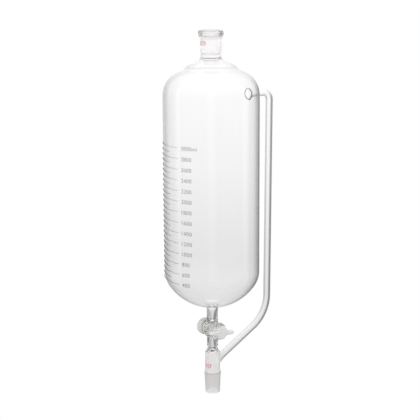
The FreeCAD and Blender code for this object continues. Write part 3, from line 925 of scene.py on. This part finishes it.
def add_text(bm, words, letters_as, radius, start_degrees, z):
    """Adds printed words to bm as thin closed letters, wrapped round the vessel's axis.

    letters_as is a letter's height and width, and what is taken off its strokes.
    """
    letter_height, letter_width, thinning = letters_as
    skin, gap = 0.10, 0.01
    curve = bpy.data.curves.new("words", "FONT")
    curve.body = words
    curve.extrude = 0.5
    curve.resolution_u = 5
    curve.offset = -thinning
    curve.space_character = 1.12
    holder = bpy.data.objects.new("words", curve)
    bpy.context.scene.collection.objects.link(holder)
    graph = bpy.context.evaluated_depsgraph_get()
    flat = bpy.data.meshes.new_from_object(holder.evaluated_get(graph))
    bpy.data.objects.remove(holder)
    bpy.data.curves.remove(curve)
    letters = bmesh.new()
    letters.from_mesh(flat)
    bpy.data.meshes.remove(flat)
    bmesh.ops.remove_doubles(letters, verts=letters.verts, dist=1e-5)
    left = min(v.co.x for v in letters.verts)
    width = max(v.co.x for v in letters.verts) - left
    bottom = min(v.co.y for v in letters.verts)
    tall = max(v.co.y for v in letters.verts) - bottom
    slices = 4 * len(words)
    for cut in range(1, slices):
        everything = letters.verts[:] + letters.edges[:] + letters.faces[:]
        place = (left + width * cut / slices, 0, 0)
        bmesh.ops.bisect_plane(letters, geom=everything, plane_co=place, plane_no=(1, 0, 0))
    full_width = letter_width * len(words)
    for vert in letters.verts:
        along = (vert.co.x - left) / width * full_width
        turn = math.radians(start_degrees) + along / radius
        reach = radius + gap + (skin if vert.co.z > 0 else 0)
        rise = z + ((vert.co.y - bottom) / tall - 0.5) * letter_height
        vert.co = Vector((reach * math.cos(turn), reach * math.sin(turn), rise)) * MM
    part = bpy.data.meshes.new("letters")
    letters.to_mesh(part)
    letters.free()
    bm.from_mesh(part)
    bpy.data.meshes.remove(part)


def scale_figures():
    """The volume beside every long mark, with the unit at the last."""
    bm = bmesh.new()
    spacing = (last_mark_z - first_mark_z) / (mark_count - 1)
    for index in range(mark_count):
        words = str(first_mark + index * mark_step)
        if index == mark_count - 1:
            words += "ml"
        mark_z = first_mark_z + index * spacing
        add_text(bm, words, FIGURES, body_radius, figures_start, mark_z)
    return from_bmesh("scale_figures", bm)


def joint_size_marks():
    """The standard size of the ground joints, printed beside each."""
    bm = bmesh.new()
    add_text(bm, joint_size, SOCKET_MARK, socket_radius, socket_mark_start, socket_mark_z)
    add_text(bm, joint_size, JACKET_MARK, jacket_radius, jacket_mark_start, jacket_mark_z)
    return from_bmesh("joint_size_marks", bm)


# The scale's ticks stay as the CAD's own node, in the enamel's colour.
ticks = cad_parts["graduation_marks"]
ticks.data.materials.clear()
ticks.data.materials.append(TICK_INK)
finish_piece(scale_figures(), "vessel", "scale_enamel", FIGURE_INK)
finish_piece(joint_size_marks(), "vessel", "scale_enamel", MARK_INK)


# ---- Studio ----

VIEW_AZIMUTH = math.radians(54.0)             # the way the camera looks, about +Z from +X
WALL_LIGHT, CEILING_LIGHT, SCATTERED_LIGHT = 1.05, 0.6, 1.2


def room_gaps(nodes, links, rise, turned):
    """The share of the light that is left in each direction, between the room's bright walls.

    The gaps lie between the walls ahead, behind and on both sides. They are deeper ahead on the
    right and near the floor, weaker behind the camera, and fade out overhead and underfoot.
    """
    steepness, wall_width = 6.8, 0.25
    least_behind = 0.3
    shallow, deeper = 0.34, 0.38
    most_above, more_below = 0.28, 0.6
    twice = maths(nodes, links, "SINE", maths(nodes, links, "MULTIPLY", turned, 2.0))
    squared = maths(nodes, links, "MULTIPLY", twice, twice)
    spread = maths(nodes, links, "MULTIPLY", squared, steepness)
    gap = maths(nodes, links, "SUBTRACT", spread, wall_width, clamp=True)
    ahead = maths(nodes, links, "MULTIPLY", maths(nodes, links, "COSINE", turned), 1.5)
    ahead = maths(nodes, links, "ADD", ahead, 0.8, clamp=True)
    gap = maths(nodes, links, "MULTIPLY", gap, maths(nodes, links, "MAXIMUM", ahead, least_behind))
    side = maths(nodes, links, "MULTIPLY", twice, 1.5)
    side = maths(nodes, links, "ADD", side, 0.5, clamp=True)
    depth = maths(nodes, links, "ADD", maths(nodes, links, "MULTIPLY", side, deeper), shallow)
    slant = maths(nodes, links, "MULTIPLY", maths(nodes, links, "ABSOLUTE", rise), 2.0)
    fade = maths(nodes, links, "SUBTRACT", 1.9, slant, clamp=True)
    dimmed = maths(nodes, links, "MULTIPLY", maths(nodes, links, "MULTIPLY", gap, depth), fade)
    rising = maths(nodes, links, "MULTIPLY", maths(nodes, links, "ADD", rise, 0.08), 4.0)
    sunk = maths(nodes, links, "SUBTRACT", 1.0, rising, clamp=True)
    limit = maths(nodes, links, "ADD", maths(nodes, links, "MULTIPLY", sunk, more_below), most_above)
    return maths(nodes, links, "SUBTRACT", 1.0, maths(nodes, links, "MINIMUM", dimmed, limit))


def room_slope(nodes, links, rise):
    """Brightness by height: white from just under the horizon up, greyer towards the floor."""
    slope = nodes.new("ShaderNodeValToRGB")
    links.new(maths(nodes, links, "ADD", rise, 0.6), slope.inputs[0])
    stops = ((0.0, 0.60), (0.27, 0.695), (0.35, 0.79), (0.42, 0.905), (0.52, 1.0))
    for index, (position, shade) in enumerate(stops):
        if index < 2:
            stop = slope.color_ramp.elements[index]
            stop.position = position
        else:
            stop = slope.color_ramp.elements.new(position)
        stop.color = (shade, shade, shade, 1)
    return slope.outputs[0]


def lit_studio():
    """A white room: bright above and behind, greyer towards the floor, with soft dark gaps.

    The gaps give the glass its edges. The camera itself sees plain white. Light that a frosted
    or white surface has scattered comes from an even room without the gaps, which keeps the
    ground glass pale.
    """
    world = bpy.data.worlds.new("studio")
    bpy.context.scene.world = world
    world.use_nodes = True
    nodes, links = world.node_tree.nodes, world.node_tree.links
    nodes.clear()
    output = nodes.new("ShaderNodeOutputWorld")
    place = nodes.new("ShaderNodeTexCoord")
    axes = nodes.new("ShaderNodeSeparateXYZ")
    links.new(place.outputs["Generated"], axes.inputs[0])
    rise = axes.outputs[2]

    azimuth = maths(nodes, links, "ARCTAN2", axes.outputs[1], axes.outputs[0])
    turned = maths(nodes, links, "SUBTRACT", VIEW_AZIMUTH, azimuth)
    kept = room_gaps(nodes, links, rise, turned)
    slope = room_slope(nodes, links, rise)
    upward = maths(nodes, links, "MAXIMUM", rise, 0.0)
    overhead = maths(nodes, links, "MULTIPLY", upward, CEILING_LIGHT)
    walls = maths(nodes, links, "MULTIPLY", slope, WALL_LIGHT)
    strength = maths(nodes, links, "MULTIPLY", walls, kept)
    strength = maths(nodes, links, "ADD", strength, overhead)
    even = maths(nodes, links, "ADD", slope, overhead)
    even = maths(nodes, links, "MULTIPLY", even, SCATTERED_LIGHT)

    path = nodes.new("ShaderNodeLightPath")
    lit = nodes.new("ShaderNodeMix")
    scattered = maths(nodes, links, "MINIMUM", path.outputs["Diffuse Depth"], 1.0)
    links.new(scattered, lit.inputs["Factor"])
    links.new(strength, lit.inputs["A"])
    links.new(even, lit.inputs["B"])
    for_light = add(nodes, "ShaderNodeBackground", Color=(1, 1, 1, 1))
    for_camera = add(nodes, "ShaderNodeBackground", Color=(1, 1, 1, 1))
    choice = nodes.new("ShaderNodeMixShader")
    links.new(lit.outputs["Result"], for_light.inputs["Strength"])
    links.new(path.outputs["Is Camera Ray"], choice.inputs[0])
    links.new(for_light.outputs[0], choice.inputs[1])
    links.new(for_camera.outputs[0], choice.inputs[2])
    links.new(choice.outputs[0], output.inputs[0])


def plain_floor():
    """A pale floor, well below the held funnel, that the camera sees as even white."""
    half_size, depth_below = 60, 0.45
    bm = bmesh.new()
    bmesh.ops.create_grid(bm, x_segments=1, y_segments=1, size=half_size)
    floor = from_bmesh("floor", bm)
    floor.location.z = -depth_below
    material, nodes, links = shader("floor_white")
    glow = add(nodes, "ShaderNodeEmission", Strength=1.0)
    links.new(glow.outputs[0], nodes["Material Output"].inputs["Surface"])
    floor.data.materials.append(material)
    floor.visible_transmission = False
    floor.visible_glossy = False
    floor.visible_diffuse = False


def photo_camera():
    """The picture's viewpoint: a long lens, a little above the funnel and looking down on it."""
    distance, height = 1.5692, 0.6221             # metres from the axis, and above the cone's foot
    pitch, yaw, roll = 0.2197, -0.0016, -0.0057   # radians
    toward = Vector((math.cos(VIEW_AZIMUTH), math.sin(VIEW_AZIMUTH), 0))
    across = Vector((math.sin(VIEW_AZIMUTH), -math.cos(VIEW_AZIMUTH), 0))
    level = across * math.sin(yaw) + toward * math.cos(yaw)
    ahead = level * math.cos(pitch) - Vector((0, 0, math.sin(pitch)))
    right = across * math.cos(yaw) - toward * math.sin(yaw)
    up = right.cross(ahead)
    rolled_right = right * math.cos(roll) + up * math.sin(roll)
    rolled_up = up * math.cos(roll) - right * math.sin(roll)
    data = bpy.data.cameras.new("camera")
    data.sensor_width = 36.0
    data.lens = 97.42
    camera = bpy.data.objects.new("camera", data)
    turned = Matrix((rolled_right, rolled_up, -ahead)).transposed().to_4x4()
    camera.matrix_world = Matrix.Translation(-toward * distance + Vector((0, 0, height))) @ turned
    bpy.context.scene.collection.objects.link(camera)
    bpy.context.scene.camera = camera


lit_studio()
plain_floor()
photo_camera()

scene = bpy.context.scene
scene.view_settings.view_transform = "Standard"

# Enough bounces for light to get through four walls of glass and out of the ground joints.
scene.cycles.max_bounces = 24
scene.cycles.transmission_bounces = 24
scene.cycles.diffuse_bounces = 16
scene.cycles.glossy_bounces = 16
